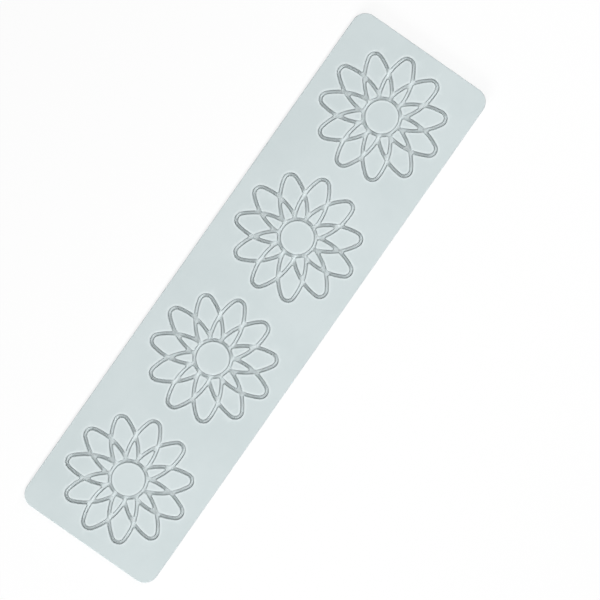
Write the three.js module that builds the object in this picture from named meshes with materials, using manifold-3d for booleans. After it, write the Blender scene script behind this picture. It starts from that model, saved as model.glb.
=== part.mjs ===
// Silicone mould for lace biscuits and chocolate: one flat mat with a row of flower cavities.
// A flower is a ring of overlapping petal loops, sunk as grooves round a plain centre disc.
// Millimetres, +Z up. The origin is the middle of the underside and X runs along the row.

import * as THREE from 'three';
import { mergeVertices, toCreasedNormals } from 'three/addons/utils/BufferGeometryUtils.js';
import Module from 'manifold-3d';

const wasm = await Module();
wasm.setup();

// The row of flowers, and the plain mat that is left round it
const flowerCount = 4;
const flowerGap = 7.8; // from the rim of one flower to the rim of the next
const endMargin = 6.15; // from the outer flowers to the short edges
const sideMargin = 6.65; // from the flowers to the long edges
const cornerRadius = 7.5;
const edgeRound = 0.6; // rounding of the mat's upper and lower edges

// One petal, measured along the middle of its groove
const petalCount = 11;
const petalReach = 32.3; // from the flower's centre to the petal's tip
const petalHalfWidth = 6.75;
const petalWidestAt = 16.1; // from the flower's centre to the widest place
const petalTipRadius = 3.5;
const ringRadius = 9.35; // ring groove round the centre disc
const firstPetalAngle = THREE.MathUtils.degToRad(-89.2);

// Section of every groove, with walls that lean outwards so that the casting peels out
const grooveTopWidth = 2.1;
const grooveFloorWidth = 0.9;
const grooveDepth = 2.6;
const floorThickness = 2.4; // silicone left under a groove

// Facets on the round stretches
const sideSteps = 5;
const tipSteps = 6;
const ringSteps = 3 * petalCount;
const cornerSteps = 10;
const edgeSteps = 3;
const creaseAngle = THREE.MathUtils.degToRad(30);

// Sizes that follow from the ones above
const matThickness = floorThickness + grooveDepth;
const flowerRadius = petalReach + grooveTopWidth / 2;
const flowerPitch = 2 * flowerRadius + flowerGap;
const matLength = (flowerCount - 1) * flowerPitch + 2 * (flowerRadius + endMargin);
const matWidth = 2 * (flowerRadius + sideMargin);

// The cutter of a groove: its half width and height at the floor, and where it stands above the mat
const wallLean = (grooveTopWidth - grooveFloorWidth) / 2 / grooveDepth;
const cutterRise = grooveDepth / 2;
const cutterFloor = { half: grooveFloorWidth / 2, z: floorThickness };
const cutterTop = { half: grooveTopWidth / 2 + wallLean * cutterRise, z: matThickness + cutterRise };

const silicone = new THREE.MeshStandardMaterial({
  name: 'pale_silicone',
  color: '#d2dcdd',
  roughness: 0.55,
  metalness: 0,
});

function toSolid(geometry) {
  geometry.deleteAttribute('normal');
  geometry.deleteAttribute('uv');
  const merged = mergeVertices(geometry);
  const vertProperties = new Float32Array(merged.attributes.position.array);
  const triVerts = new Uint32Array(merged.index.array);
  return new wasm.Manifold(new wasm.Mesh({ numProp: 3, vertProperties, triVerts }));
}

function toGeometry(solid) {
  const { vertProperties, triVerts } = solid.getMesh();
  const geometry = new THREE.BufferGeometry();
  geometry.setAttribute('position', new THREE.BufferAttribute(vertProperties, 3));
  geometry.setIndex(new THREE.BufferAttribute(triVerts, 1));
  return toCreasedNormals(geometry, creaseAngle);
}

// The mat before its cavities: a rounded rectangle with rounded edges above and below
function makeBlank() {
  const cornerX = matLength / 2 - cornerRadius;
  const cornerY = matWidth / 2 - cornerRadius;
  const quarter = Math.PI / 2;
  const outline = new THREE.Shape();
  outline.absarc(cornerX, cornerY, cornerRadius, 0, quarter);
  outline.absarc(-cornerX, cornerY, cornerRadius, quarter, 2 * quarter);
  outline.absarc(-cornerX, -cornerY, cornerRadius, 2 * quarter, 3 * quarter);
  outline.absarc(cornerX, -cornerY, cornerRadius, 3 * quarter, 4 * quarter);
  const blank = new THREE.ExtrudeGeometry(outline, {
    depth: matThickness - 2 * edgeRound,
    curveSegments: cornerSteps / 2, // an arc gets twice as many
    bevelThickness: edgeRound,
    bevelSize: edgeRound,
    bevelOffset: -edgeRound,
    bevelSegments: edgeSteps,
  });
  blank.translate(0, 0, edgeRound);
  return toSolid(blank);
}

function makeRingCutter() {
  const profile = [
    new THREE.Vector2(ringRadius - cutterFloor.half, cutterFloor.z),
    new THREE.Vector2(ringRadius + cutterFloor.half, cutterFloor.z),
    new THREE.Vector2(ringRadius + cutterTop.half, cutterTop.z),
    new THREE.Vector2(ringRadius - cutterTop.half, cutterTop.z),
  ];
  profile.push(profile[0].clone());
  const ring = new THREE.LatheGeometry(profile, ringSteps);
  ring.rotateX(Math.PI / 2);
  return toSolid(ring);
}

// The middle line of one petal that points along +Y: up one side, round the tip and down again.
// Each station is a point with the direction that leads out of the petal there. The tip's arc
// runs smoothly into the two side arcs, which end where they meet the ring.
function petalStations() {
  const tipCentre = petalReach - petalTipRadius;
  const rise = tipCentre - petalWidestAt;
  const spread = petalHalfWidth - petalTipRadius;
  const sideRadius = (rise ** 2 + petalHalfWidth ** 2 - petalTipRadius ** 2) / (2 * spread);
  const sideCentreX = petalHalfWidth - sideRadius;
  const joinAngle = Math.atan2(rise, -sideCentreX);

  const toCentre = Math.hypot(sideCentreX, petalWidestAt);
  const ringCosine = (sideRadius ** 2 + toCentre ** 2 - ringRadius ** 2) / (2 * sideRadius * toCentre);
  const ringAngle = Math.atan2(-petalWidestAt, -sideCentreX) + Math.acos(ringCosine);

  const station = (centreX, centreY, radius, angle) => {
    const outward = new THREE.Vector2(Math.cos(angle), Math.sin(angle));
    const point = new THREE.Vector2(centreX, centreY).addScaledVector(outward, radius);
    return { point, outward };
  };
  const side = [];
  for (let i = 0; i < sideSteps; i += 1) {
    const angle = THREE.MathUtils.lerp(ringAngle, joinAngle, i / sideSteps);
    side.push(station(sideCentreX, petalWidestAt, sideRadius, angle));
  }
  const tip = [];
  for (let i = 0; i <= tipSteps; i += 1) {
    const angle = THREE.MathUtils.lerp(joinAngle, Math.PI - joinAngle, i / tipSteps);
    tip.push(station(0, tipCentre, petalTipRadius, angle));
  }
  const mirror = ({ point, outward }) => ({
    point: new THREE.Vector2(-point.x, point.y),
    outward: new THREE.Vector2(-outward.x, outward.y),
  });
  return [...side, ...tip, ...side.map(mirror).reverse()];
}

// The groove's section carried along the petal, closed at both ends
function makePetalCutter() {
  const corners = [
    { ...cutterTop, sign: 1 },
    { ...cutterTop, sign: -1 },
    { ...cutterFloor, sign: -1 },
    { ...cutterFloor, sign: 1 },
  ];
  const stations = petalStations();
  const positions = [];
  for (const { point, outward } of stations) {
    for (const { half, z, sign } of corners) {
      const corner = point.clone().addScaledVector(outward, sign * half);
      positions.push(corner.x, corner.y, z);
    }
  }
  const faces = [];
  const quad = (a, b, c, d) => faces.push(a, b, c, a, c, d);
  for (let i = 0; i < stations.length - 1; i += 1) {
    for (let j = 0; j < corners.length; j += 1) {
      const here = i * corners.length;
      const there = here + corners.length;
      const next = (j + 1) % corners.length;
      quad(here + j, there + j, there + next, here + next);
    }
  }
  const last = (stations.length - 1) * corners.length;
  quad(0, 1, 2, 3);
  quad(last + 3, last + 2, last + 1, last);

  const petal = new THREE.BufferGeometry();
  petal.setAttribute('position', new THREE.Float32BufferAttribute(positions, 3));
  petal.setIndex(faces);
  return petal;
}

function makeFlowerCutter() {
  let flower = makeRingCutter();
  for (let i = 0; i < petalCount; i += 1) {
    const angle = firstPetalAngle + (i * 2 * Math.PI) / petalCount;
    const petal = makePetalCutter().rotateZ(angle - Math.PI / 2);
    flower = flower.add(toSolid(petal));
  }
  return flower;
}

function makeMat() {
  const flower = makeFlowerCutter();
  let mat = makeBlank();
  for (let i = 0; i < flowerCount; i += 1) {
    const x = (i - (flowerCount - 1) / 2) * flowerPitch;
    mat = mat.subtract(flower.translate([x, 0, 0]));
  }
  return toGeometry(mat);
}

const mouldMat = new THREE.Mesh(makeMat(), silicone);
mouldMat.name = 'mould_mat';

const mould = new THREE.Group();
mould.name = 'chocolate_mould';
mould.add(mouldMat);

export default mould;
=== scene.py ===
# Silicone lace mould: one pale mat with a row of flower cavities, seen from straight above
import math

import bmesh
import bpy
import numpy as np
from mathutils.geometry import delaunay_2d_cdt
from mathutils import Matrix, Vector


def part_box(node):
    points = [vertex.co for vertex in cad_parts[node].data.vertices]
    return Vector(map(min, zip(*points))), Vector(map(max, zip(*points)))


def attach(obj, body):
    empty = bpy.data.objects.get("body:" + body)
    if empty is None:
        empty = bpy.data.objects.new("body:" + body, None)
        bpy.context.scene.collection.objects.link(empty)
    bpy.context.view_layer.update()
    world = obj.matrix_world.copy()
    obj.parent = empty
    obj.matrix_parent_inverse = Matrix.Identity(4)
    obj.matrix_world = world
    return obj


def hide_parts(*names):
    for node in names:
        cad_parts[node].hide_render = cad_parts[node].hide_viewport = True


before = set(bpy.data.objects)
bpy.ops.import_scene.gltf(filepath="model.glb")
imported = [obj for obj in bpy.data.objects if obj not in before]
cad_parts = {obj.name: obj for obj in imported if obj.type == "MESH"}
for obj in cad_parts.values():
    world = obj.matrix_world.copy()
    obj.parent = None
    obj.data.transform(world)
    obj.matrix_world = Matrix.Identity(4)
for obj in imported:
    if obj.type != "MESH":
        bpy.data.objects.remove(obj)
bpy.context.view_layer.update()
matLow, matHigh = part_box("mould_mat")
mm = 0.001
matSize = (matHigh - matLow) / mm
matLength, matWidth, matThickness = matSize


# Camera, from where the mat lies in the photograph

photo = {
    "imageSide": 600,             # pixels
    "matCentre": (254.6, 297.5),  # pixel under the middle of the mat
    "matAcross": 158.35,          # the mat's width in pixels
    "matTurn": 55.03,             # degrees from the image's right to the mat's length
    "distance": 2.0,              # metres from the lens to the mat's face
    "farthest": 20.0,             # metres that the camera sees
    "sensor": 36.0,               # millimetres
}


def makeCamera(spec):
    mmPerPixel = matWidth / spec["matAcross"]
    turn = math.radians(-spec["matTurn"])
    right = np.array([math.cos(turn), math.sin(turn)])
    up = np.array([-math.sin(turn), math.cos(turn)])
    imageCentre = (spec["imageSide"] - 1) / 2  # pixels count from 0 at their middles
    offset = (imageCentre - np.array(spec["matCentre"])) * mmPerPixel * mm
    spot = right * offset[0] - up * offset[1]
    data = bpy.data.cameras.new("photoCamera")
    data.sensor_width = spec["sensor"]
    data.lens = spec["sensor"] * spec["distance"] / (spec["imageSide"] * mmPerPixel * mm)
    data.clip_end = spec["farthest"]
    camera = bpy.data.objects.new("photoCamera", data)
    camera.location = (spot[0], spot[1], matHigh.z + spec["distance"])
    camera.rotation_euler = (0, 0, turn)
    bpy.context.scene.collection.objects.link(camera)
    bpy.context.scene.camera = camera


makeCamera(photo)
print("camera set")


# Shader maths: a wire is one output socket, and sums of wires add their own Math nodes

class Wire:
    def __init__(self, tree, socket=None):
        self.tree = tree
        self.socket = socket

    def node(self, kind, settings=None, sockets=None, out=0):
        made = self.tree.nodes.new(kind)
        for name, value in (settings or {}).items():
            setattr(made, name, value)
        for name, value in (sockets or {}).items():
            if isinstance(value, Wire):
                self.tree.links.new(value.socket, made.inputs[name])
            else:
                made.inputs[name].default_value = value
        return Wire(self.tree, made.outputs[out] if made.outputs else None)

    def sibling(self, out):  # another output of the same node
        return Wire(self.tree, self.socket.node.outputs[out])

    def math(self, operation, first, second):
        return self.node("ShaderNodeMath", {"operation": operation}, {0: first, 1: second})

    def __add__(self, other):
        return self.math("ADD", self, other)

    def __radd__(self, other):
        return self.math("ADD", other, self)

    def __sub__(self, other):
        return self.math("SUBTRACT", self, other)

    def __rsub__(self, other):
        return self.math("SUBTRACT", other, self)

    def __mul__(self, other):
        return self.math("MULTIPLY", self, other)

    def __rmul__(self, other):
        return self.math("MULTIPLY", other, self)

    def ramp(self, low, high):
        return self.node("ShaderNodeMapRange", {"interpolation_type": "SMOOTHSTEP"},
                         {"Value": self, "From Min": low, "From Max": high})

    def blend(self, first, second):  # sockets 6, 7 and 2 are the node's colours
        return self.node("ShaderNodeMix", {"data_type": "RGBA"}, {0: self, 6: first, 7: second}, 2)


def newTree(owner):
    owner.use_nodes = True
    owner.node_tree.nodes.clear()
    return Wire(owner.node_tree)


# The mat's mesh. Lengths are millimetres until the last step, and angles are radians unless noted.

mat = {
    "flowers": 4,
    "flowerPitch": 74.5,
    "petals": 11,
    "firstPetal": -89.2,      # degrees
    "petalReach": 32.3,       # measured on the groove's middle line, as the next four
    "petalHalfWidth": 6.75,
    "petalWidestAt": 16.1,
    "petalTipRadius": 3.5,
    "ringRadius": 9.35,
    "grooveTop": 2.1,
    "grooveFloor": 0.9,
    "grooveDepth": 2.6,
    "lipRound": 0.12,         # radius of the groove's upper edge
    "floorRound": 0.15,       # and of the corner at its floor
    "roundSteps": 4,
    "filletRadius": 0.35,     # upright corners where grooves meet, at the lip; they widen downwards
    "openReach": 0.7,         # past a groove's lip, where light still falls in from a crossing
    "flatHold": 0.15,         # flat rim beside a rounded edge, which keeps the face's shading flat
    "cornerRadius": 7.5,
    "cornerSteps": 20,
    "edgeRound": 0.4,         # rounding of the mat's upper and lower edges
    "edgeSteps": 6,

    # how the fields between the grooves are found
    "petalSeed": 21.5,        # a point on each petal's field, from the flower's centre
    "wedgeSeed": 14.0,        # and one on each wedge between two petals
    "rayReach": 14.0,         # from a seed past the far wall of its field
    "rays": 900,
    "rayStops": 100,
    "rayHalvings": 30,
    "slopeStep": 0.0001,      # for the direction in which the nearest groove lies
    "sharpTurn": 0.15,        # from one ray to the next, where it makes a corner
    "sweepSteps": 24,         # headings round a corner

    # how far apart the points lie
    "finestStep": 0.2,        # along a groove
    "coarsestStep": 0.9,
    "turnPerStep": 0.18,
    "straightTurn": 0.000001,  # least bend that is reckoned with
    "bendReach": 4,           # neighbours on each side that count in a bend
    "highlightBand": 1.0,        # width of the face beside a groove that takes the painted highlight
    "highlightStep": 0.55,
    "fieldStep": 5.0,
    "weldDistance": 0.000001,
}

petalAxis = math.radians(mat["firstPetal"])
petalTurn = 2 * math.pi / mat["petals"]
gapAxis = petalAxis + petalTurn / 2
flowerPlaces = (np.arange(mat["flowers"]) - (mat["flowers"] - 1) / 2) * mat["flowerPitch"]
floorHeight = matThickness - mat["grooveDepth"]


def polar(radius, angles):
    return radius * np.stack([np.cos(angles), np.sin(angles)], -1)


def turned(loop, angle):
    cosine, sine = math.cos(angle), math.sin(angle)
    return loop @ np.array([[cosine, sine], [-sine, cosine]])


def shortestTurn(angles):
    return (angles + math.pi) % (2 * math.pi) - math.pi


def petalArcs():  # two side arcs run smoothly into the tip's arc
    halfWidth, tipRadius = mat["petalHalfWidth"], mat["petalTipRadius"]
    widestY, ringRadius = mat["petalWidestAt"], mat["ringRadius"]
    tipY = mat["petalReach"] - tipRadius
    rise = tipY - widestY
    sideRadius = (rise ** 2 + halfWidth ** 2 - tipRadius ** 2) / (2 * (halfWidth - tipRadius))
    sideX = halfWidth - sideRadius
    joinAngle = math.atan2(rise, -sideX)
    toCentre = math.hypot(sideX, widestY)
    ringCosine = (sideRadius ** 2 + toCentre ** 2 - ringRadius ** 2) / (2 * sideRadius * toCentre)
    ringAngle = math.atan2(-widestY, -sideX) + math.acos(ringCosine)
    side = {"centre": (sideX, widestY), "radius": sideRadius, "angles": (ringAngle, joinAngle)}
    tip = {"centre": (0, tipY), "radius": tipRadius, "angles": (joinAngle, math.pi / 2)}
    return side, tip


sideArc, tipArc = petalArcs()


def arcDistance(x, y, arc):
    x = x - arc["centre"][0]
    y = y - arc["centre"][1]
    angle = np.clip(np.arctan2(y, x), *arc["angles"])
    return np.hypot(x - arc["radius"] * np.cos(angle), y - arc["radius"] * np.sin(angle))


def grooveDistances(points):  # to the middle lines of a flower's ring and petals, a row for each
    x, y = points[:, 0], points[:, 1]
    rows = [np.abs(np.hypot(x, y) - mat["ringRadius"])]
    for i in range(mat["petals"]):
        angle = petalAxis + i * petalTurn
        along = x * math.cos(angle) + y * math.sin(angle)
        across = np.abs(x * math.sin(angle) - y * math.cos(angle))
        rows.append(np.minimum(arcDistance(across, along, sideArc), arcDistance(across, along, tipArc)))
    return np.array(rows)


def grooveDistance(points):  # to the nearest of them
    return grooveDistances(points).min(0)


def fromFlower(points):  # points of the mat, measured from the middle of their nearest flower
    nearest = np.abs(points[:, :1] - flowerPlaces).argmin(1)
    return np.stack([points[:, 0] - flowerPlaces[nearest], points[:, 1]], 1)


def grooveShelter(points):  # 1 on a plain stretch of groove, 0 where a second groove lets light in
    points = fromFlower(points)
    second = np.partition(grooveDistances(points), 1, 0)[1]
    shelter = np.clip((second - mat["grooveTop"] / 2) / mat["openReach"], 0, 1)
    onDisc = np.hypot(*points.T) < mat["ringRadius"]
    return np.where(onDisc, 1, shelter)  # the disc's wall has no corners


def grooveProfile():  # pairs of distance from the groove's middle and height, lip to floor
    lean = math.atan2((mat["grooveTop"] - mat["grooveFloor"]) / 2, mat["grooveDepth"])
    bend = math.pi / 2 - lean
    lip = mat["grooveTop"] / 2 + mat["lipRound"] * math.tan(bend / 2)
    foot = mat["grooveFloor"] / 2 - mat["floorRound"] * math.tan(bend / 2)
    turns = np.linspace(0, bend, mat["roundSteps"] + 1)
    arc = np.stack([np.sin(turns), 1 - np.cos(turns)], 1)
    upper = (lip, matThickness) - mat["lipRound"] * arc
    lower = (foot, floorHeight) + mat["floorRound"] * arc
    return [(lip + mat["flatHold"], matThickness), *upper, *lower[::-1]]


def flowerLands():  # the fields between the grooves, each seen from one seed by its rays
    outward = (0, mat["rayReach"])
    inward = (mat["petalReach"] + 2 * mat["grooveTop"], mat["ringRadius"] + mat["grooveTop"])
    petalSeed = polar(mat["petalSeed"], petalAxis)
    wedgeSeed = polar(mat["wedgeSeed"], gapAxis)
    return [
        {"seed": np.zeros(2), "reach": (0, mat["ringRadius"]), "copies": 1},  # round disc
        {"seed": petalSeed, "reach": outward, "copies": mat["petals"]},
        {"seed": wedgeSeed, "reach": outward, "copies": mat["petals"]},
        {"seed": np.zeros(2), "reach": inward, "copies": 1},  # plain mat round the flower
    ]


def castLoop(land, angles, level):  # where rays from the land's seed first come that near a groove
    rays = polar(1, angles)
    stops = np.linspace(*land["reach"], mat["rayStops"])
    clear = np.array([grooveDistance(land["seed"] + rays * stop) > level for stop in stops])
    first = np.argmin(clear, 0)
    assert first.all()  # each ray starts clear and comes near a groove
    low, high = stops[first - 1], stops[first]
    for _ in range(mat["rayHalvings"]):
        middle = (low + high) / 2
        clear = grooveDistance(land["seed"] + rays * middle[:, None]) > level
        low = np.where(clear, middle, low)
        high = np.where(clear, high, middle)
    return land["seed"] + rays * low[:, None]


def landStations(land, level):  # points round a land's core, with headings that lead into the groove
    count = mat["rays"]
    core = castLoop(land, (np.arange(count) + 0.5) * 2 * math.pi / count, level)
    steps = mat["slopeStep"] * np.eye(2)
    fall = [grooveDistance(core) - grooveDistance(core + step) for step in steps]
    heading = np.arctan2(fall[1], fall[0])
    turn = shortestTurn(np.roll(heading, -1) - heading)
    heading = heading[0] + np.concatenate([[0], np.cumsum(turn)])
    stations = []
    for i in range(count):
        stations.append((*core[i], heading[i]))
        if abs(turn[i]) > mat["sharpTurn"]:  # at a corner the heading sweeps round while the point stays
            normals = polar(1, heading[i:i + 2])
            sides = np.array([core[i], core[(i + 1) % count]])
            corner = np.linalg.solve(normals, (normals * sides).sum(1))
            sweep = np.linspace(heading[i], heading[i + 1], mat["sweepSteps"])
            stations += [(*corner, angle) for angle in sweep]
    return np.array(stations)


def outline(stations, reach):
    return stations[:, :2] + polar(reach, stations[:, 2])


def nearby(values):  # each value with its neighbours' added
    reach = mat["bendReach"]
    return sum(np.roll(values, i) for i in range(-reach, reach + 1))


def crowding(loop):  # how many points each stretch of an outline wants: more where it turns
    ahead = np.roll(loop, -1, 0) - loop
    length = np.hypot(ahead[:, 0], ahead[:, 1])
    heading = np.arctan2(ahead[:, 1], ahead[:, 0])
    bend = nearby(np.abs(shortestTurn(heading - np.roll(heading, 1))))
    spacing = mat["turnPerStep"] * nearby(length) / np.maximum(bend, mat["straightTurn"])
    return length / np.clip(spacing, mat["finestStep"], mat["coarsestStep"])


def spreadStations(stations, reaches):  # leaves none of the land's outlines short of points
    wanted = np.max([crowding(outline(stations, reach)) for reach in reaches], 0)
    walked = np.concatenate([[0], np.cumsum(wanted)])
    stops = np.linspace(0, walked[-1], round(walked[-1]), endpoint=False)
    closed = np.vstack([stations, stations[0] + (0, 0, 2 * math.pi)])
    return np.stack([np.interp(stops, walked, column) for column in closed.T], 1)


def flowerFlights(levels):  # the outlines of each land, from its lip down to the groove's floor
    coreLevel = levels[0] - mat["flatHold"] + mat["filletRadius"]
    reaches = [coreLevel - level for level in levels]
    flights = []
    for land in flowerLands():
        stations = spreadStations(landStations(land, coreLevel), (reaches[0], reaches[-1]))
        flight = [outline(stations, reach) for reach in reaches]
        flights += [[turned(loop, i * petalTurn) for loop in flight] for i in range(land["copies"])]
    return flights


class Shell:  # points and faces of the mesh while it grows
    def __init__(self):
        self.points = []
        self.edgeHighlight = []
        self.faces = []

    def ring(self, loop, z, edgeHighlight=0.0):
        first = len(self.points)
        self.points += [(x, y, z) for x, y in loop]
        self.edgeHighlight += list(np.broadcast_to(edgeHighlight, len(loop)))
        return list(range(first, len(self.points)))

    def walls(self, rings):
        for upper, lower in zip(rings, rings[1:]):
            for i in range(len(upper)):
                self.faces.append((upper[i - 1], lower[i - 1], lower[i], upper[i]))

    def sheet(self, rings, loose):  # flat triangles wherever an odd number of rings goes round them
        used = [i for ring in rings for i in ring] + loose
        place = {index: i for i, index in enumerate(used)}
        flat = np.array([self.points[i][:2] for i in used])
        edges = [(place[ring[i - 1]], place[ring[i]]) for ring in rings for i in range(len(ring))]
        result = delaunay_2d_cdt(flat.tolist(), edges, [], 0, mat["weldDistance"])  # 0 fills the hull
        corners, triangles = result[0], np.array(result[2])
        assert len(corners) == len(used)  # none were welded, so the order is kept
        x, y = flat[triangles].mean(1).T
        odd = np.zeros(len(triangles), bool)
        for (ax, ay), (bx, by) in flat[np.array(edges)]:
            if ay != by:
                odd ^= ((ay > y) != (by > y)) & (x < (bx - ax) * (y - ay) / (by - ay) + ax)
        for triangle in triangles[odd]:
            self.faces.append(tuple(used[i] for i in triangle))

    def mesh(self, name):
        points = np.array(self.points)
        mesh = bpy.data.meshes.new(name)
        mesh.from_pydata(points * mm, [], self.faces)
        mesh.attributes.new("edgeHighlight", "FLOAT", "POINT").data.foreach_set("value", self.edgeHighlight)
        mesh.attributes.new("shelter", "FLOAT", "POINT").data.foreach_set("value", grooveShelter(points))
        work = bmesh.new()
        work.from_mesh(mesh)
        bmesh.ops.recalc_face_normals(work, faces=work.faces)
        openEdges = sum(not edge.is_manifold for edge in work.edges)
        work.to_mesh(mesh)
        work.free()
        mesh.shade_smooth()
        print(name, "mesh:", len(points), "points,", len(self.faces), "faces,", openEdges, "open edges")
        return mesh


def rimLoop(inset):  # the mat's rounded outline, drawn in by an inset
    radius = mat["cornerRadius"] - inset
    reach = (matLength / 2 - mat["cornerRadius"], matWidth / 2 - mat["cornerRadius"])
    corners = np.array([(1, 1), (-1, 1), (-1, -1), (1, -1)]) * reach
    share = np.linspace(0, 1, mat["cornerSteps"] + 1)
    loop = []
    for i, corner in enumerate(corners):
        arc = corner + polar(radius, (i + share) * math.pi / 2)
        following = corners[(i + 1) % len(corners)] + polar(radius, (i + 1) * math.pi / 2)
        pieces = round(math.dist(arc[-1], following) / mat["fieldStep"])
        loop += [*arc, *np.linspace(arc[-1], following, pieces, endpoint=False)[1:]]
    return np.array(loop)


def faceGrid(step):
    x = np.arange(step - matLength / 2, matLength / 2 - step / 2, step)
    y = np.arange(step - matWidth / 2, matWidth / 2 - step / 2, step)
    return np.stack(np.meshgrid(x, y), -1).reshape(-1, 2)


def sinkFlowers(shell, flights, profile):  # the grooves' walls and floors; returns the lips' rings
    lips = []
    for place in flowerPlaces:
        feet = []
        for flight in flights:
            # groove points take the painted highlight at full strength, which also marks them for the
            # painted shade and light inside the grooves
            rings = [shell.ring(loop + (place, 0), z, 1.0) for loop, (_, z) in zip(flight, profile)]
            shell.walls(rings)
            lips.append(rings[0])
            feet.append(rings[-1])
        shell.sheet(feet, [])
    return lips


def turnEdge(shell):  # the mat's rounded edge; returns its rings on the two faces
    turns = np.linspace(0, math.pi / 2, mat["edgeSteps"] + 1)
    insets = mat["edgeRound"] * (1 - np.sin(turns))
    drops = mat["edgeRound"] * (1 - np.cos(turns))
    flat = mat["edgeRound"] + mat["flatHold"]
    upper = [(flat, matThickness), *zip(insets, matThickness - drops)]
    lower = [*zip(insets[::-1], drops[::-1]), (flat, 0)]
    rings = [shell.ring(rimLoop(inset), z) for inset, z in upper + lower]
    shell.walls(rings)
    return rings[0], rings[-1]


def coverFaces(shell, lipLevel, lips, rims):  # points close to the grooves hold the painted highlight beside them
    band = mat["highlightBand"]
    fine = faceGrid(mat["highlightStep"])
    edgeHighlight = (lipLevel + band - grooveDistance(fromFlower(fine))) / band
    near = (edgeHighlight > 0) & (edgeHighlight < 1)
    coarse = faceGrid(mat["fieldStep"])
    clear = grooveDistance(fromFlower(coarse)) > lipLevel + band + mat["highlightStep"]
    loose = shell.ring(fine[near], matThickness, edgeHighlight[near]) + shell.ring(coarse[clear], matThickness)
    shell.sheet([rims[0], *lips], loose)
    shell.sheet([rims[1]], shell.ring(coarse, 0))


def makeMat():
    profile = grooveProfile()
    levels = [level for level, _ in profile]
    flights = flowerFlights(levels)
    outlinePoints = sum(len(flight[0]) for flight in flights)
    print("flower outlines:", len(flights), "lands with", outlinePoints, "points round them")
    shell = Shell()
    lips = sinkFlowers(shell, flights, profile)
    print("grooves built,", len(shell.points), "points")
    rims = turnEdge(shell)
    coverFaces(shell, levels[0], lips, rims)
    piece = bpy.data.objects.new("mould", shell.mesh("mould"))
    bpy.context.scene.collection.objects.link(piece)
    return piece


# Silicone: matte, a little see-through, with faint clouds of pigment and the grain of its tool, painted
# shade on the groove walls and painted light on their edges and floors

silicone = {
    "pale": (0.664, 0.734, 0.742, 1),
    "deep": (0.630, 0.702, 0.710, 1),
    "edgeHighlight": (0.722, 0.792, 0.799, 1),  # painted highlight on the edges of the grooves and the face beside them
    "wallShade": (0.412, 0.450, 0.456, 1),    # painted shade: the groove walls are painted darker than the face
    "floor": (0.724, 0.780, 0.787, 1),   # painted light: the grooves' floors are lighter than the face, and a little greyer than the edges
    "highlightFull": 0.7,     # strength of the painted highlight at which its full colour shows
    "floorShade": 0.1,         # share of the walls' painted shade that the floors take
    "openShade": 0.1,          # and that the walls keep where grooves meet
    "wallRise": 0.7,          # millimetres above the floor where a wall has its full painted shade
    "wallFade": (1.2, 0.2),   # and below the face where it fades out again
    "clouds": {"Scale": 22, "Detail": 4, "Roughness": 0.55},  # scales are per metre
    "smears": {"Scale": 132, "Detail": 3, "Roughness": 0.6},
    "grain": {"Scale": 2600, "Detail": 2, "Roughness": 0.6},
    "noiseMiddle": 0.5,       # what the patterns swing about
    "smearShare": 0.25,       # of the pigment's pattern, the rest is clouds
    "pigmentSpan": (0.32, 0.68),
    "grainHeight": 0.000012,  # metres
    "grainStrength": 0.6,
    "roughness": 0.5,
    "cavityRoughness": 0.42,
    "smearRoughness": 0.16,   # how much the smears and the grain change it
    "grainRoughness": 0.08,
    "refraction": 1.41,
    "shine": 0.35,
    "lightInside": 0.1,       # share of the light that goes through the rubber
    "depthOfLight": 0.0006,   # metres that it travels there
    "lightSpread": (1, 1, 1),  # of that, as far in red as in green and blue
}


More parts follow.
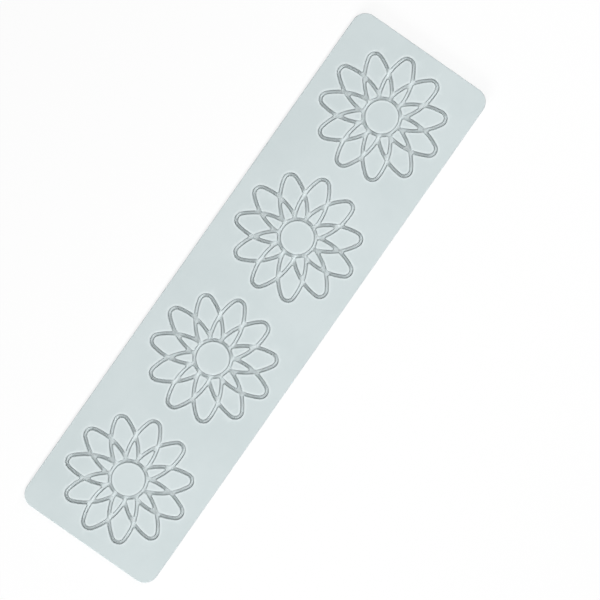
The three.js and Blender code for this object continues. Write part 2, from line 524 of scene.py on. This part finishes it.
def makeSilicone(spec):
    material = bpy.data.materials.new("paleSilicone")
    tree = newTree(material)
    place = tree.node("ShaderNodeTexCoord", out="Object")
    height = tree.node("ShaderNodeSeparateXYZ", sockets={0: place}, out="Z")
    edgeHighlight = tree.node("ShaderNodeAttribute", {"attribute_name": "edgeHighlight"}, out="Fac")
    shelter = tree.node("ShaderNodeAttribute", {"attribute_name": "shelter"}, out="Fac")
    clouds = tree.node("ShaderNodeTexNoise", sockets={"Vector": place, **spec["clouds"]})
    smears = tree.node("ShaderNodeTexNoise", sockets={"Vector": place, **spec["smears"]})
    grain = tree.node("ShaderNodeTexNoise", sockets={"Vector": place, **spec["grain"]})

    # painted shade: inside a groove the walls are painted darker than the floor and the lip, and the
    # floor is painted lighter than the face
    fadeLow, fadeHigh = [matHigh.z - depth * mm for depth in spec["wallFade"]]
    floorZ = floorHeight * mm
    cavity = edgeHighlight * (1 - height.ramp(fadeLow, fadeHigh))
    rise = height.ramp(floorZ, floorZ + spec["wallRise"] * mm)
    wallShade = cavity * (spec["floorShade"] + (1 - spec["floorShade"]) * rise)
    # the painted shade is weaker where a second groove lets light in
    wallShade = wallShade * (spec["openShade"] + (1 - spec["openShade"]) * shelter)

    pigment = clouds * (1 - spec["smearShare"]) + smears * spec["smearShare"]
    field = pigment.ramp(*spec["pigmentSpan"]).blend(spec["deep"], spec["pale"])
    # painted highlight on the groove edges and the face beside them
    edged = edgeHighlight.ramp(0, spec["highlightFull"]).blend(field, spec["edgeHighlight"])
    # painted light on the groove floors
    floored = cavity.blend(edged, spec["floor"])
    # painted shade on the walls, and a little on the floors
    colour = wallShade.blend(floored, spec["wallShade"])

    smeared = (smears - spec["noiseMiddle"]) * spec["smearRoughness"]
    grained = (grain - spec["noiseMiddle"]) * spec["grainRoughness"]
    polish = cavity * (spec["roughness"] - spec["cavityRoughness"])
    roughness = spec["roughness"] + (smeared + grained) - polish
    bump = tree.node("ShaderNodeBump", sockets={
        "Strength": spec["grainStrength"], "Distance": spec["grainHeight"], "Height": grain})
    shader = tree.node("ShaderNodeBsdfPrincipled", {"subsurface_method": "RANDOM_WALK"}, {
        "Base Color": colour, "Roughness": roughness, "Normal": bump,
        "IOR": spec["refraction"], "Specular IOR Level": spec["shine"],
        "Subsurface Weight": spec["lightInside"], "Subsurface Radius": spec["lightSpread"],
        "Subsurface Scale": spec["depthOfLight"]})
    tree.node("ShaderNodeOutputMaterial", sockets={"Surface": shader})
    return material


mould = makeMat()
mould.data.materials.append(makeSilicone(silicone))
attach(mould, "root")
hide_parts("mould_mat")
print("mould dressed")


# Floor, world and lamps

white = (1, 1, 1, 1)

stage = {
    "floorRadius": 6.0,      # metres
    "floorSides": 96,
    "floorGap": 0.05,        # millimetres under the mat
    "floorColour": (0.98, 0.98, 0.98, 1),
    "floorWhite": 0.85,      # how much of the floor's look is plain white
    "skyLight": 0.1,
}


def seenDirectly(tree):  # 1 on what the camera sees, straight, mirrored or through glass
    straight = tree.node("ShaderNodeLightPath", out="Is Camera Ray")
    mirrored = straight.sibling("Is Glossy Ray")
    through = straight.sibling("Is Transmission Ray")
    return tree.math("MAXIMUM", tree.math("MAXIMUM", straight, mirrored), through)


def makeFloor(spec):
    bpy.ops.mesh.primitive_circle_add(
        vertices=spec["floorSides"], radius=spec["floorRadius"], fill_type="NGON",
        location=(0, 0, matLow.z - spec["floorGap"] * mm))
    floor = bpy.context.object
    floor.name = "floor"
    material = bpy.data.materials.new("paleFloor")
    tree = newTree(material)
    paint = tree.node("ShaderNodeBsdfDiffuse", sockets={"Color": spec["floorColour"]})
    glow = tree.node("ShaderNodeEmission", sockets={"Color": white, "Strength": 1})
    share = seenDirectly(tree) * spec["floorWhite"]
    look = tree.node("ShaderNodeMixShader", sockets={0: share, 1: paint, 2: glow})
    tree.node("ShaderNodeOutputMaterial", sockets={"Surface": look})
    floor.data.materials.append(material)


def makeWorld(spec):
    world = bpy.data.worlds.new("studio")
    bpy.context.scene.world = world
    tree = newTree(world)
    sky = tree.node("ShaderNodeBackground", sockets={"Color": white, "Strength": spec["skyLight"]})
    glow = tree.node("ShaderNodeBackground", sockets={"Color": white, "Strength": 1})
    look = tree.node("ShaderNodeMixShader", sockets={0: seenDirectly(tree), 1: sky, 2: glow})
    tree.node("ShaderNodeOutputWorld", sockets={"Surface": look})


lamps = {  # metres and watts
    "strip": {"place": (0.0, -0.1, 0.6), "size": (2.6, 0.1), "power": 7.25},  # long, over the mat
    "endBox": {"place": (-9.6, -1.12, 4.8), "size": (7.2, 7.2), "power": 964.0},  # far beyond its end
}


def makeLamp(name, spec):
    data = bpy.data.lights.new(name, "AREA")
    data.shape = "RECTANGLE"
    data.size, data.size_y = spec["size"]
    data.energy = spec["power"]
    lamp = bpy.data.objects.new(name, data)
    lamp.location = spec["place"]
    lamp.visible_camera = False
    lamp.visible_glossy = False  # no glare on the mat from low viewpoints
    bpy.context.scene.collection.objects.link(lamp)


makeFloor(stage)
makeWorld(stage)
for name, spec in lamps.items():
    makeLamp(name, spec)
bpy.context.scene.view_settings.view_transform = "Standard"
print("stage lit")
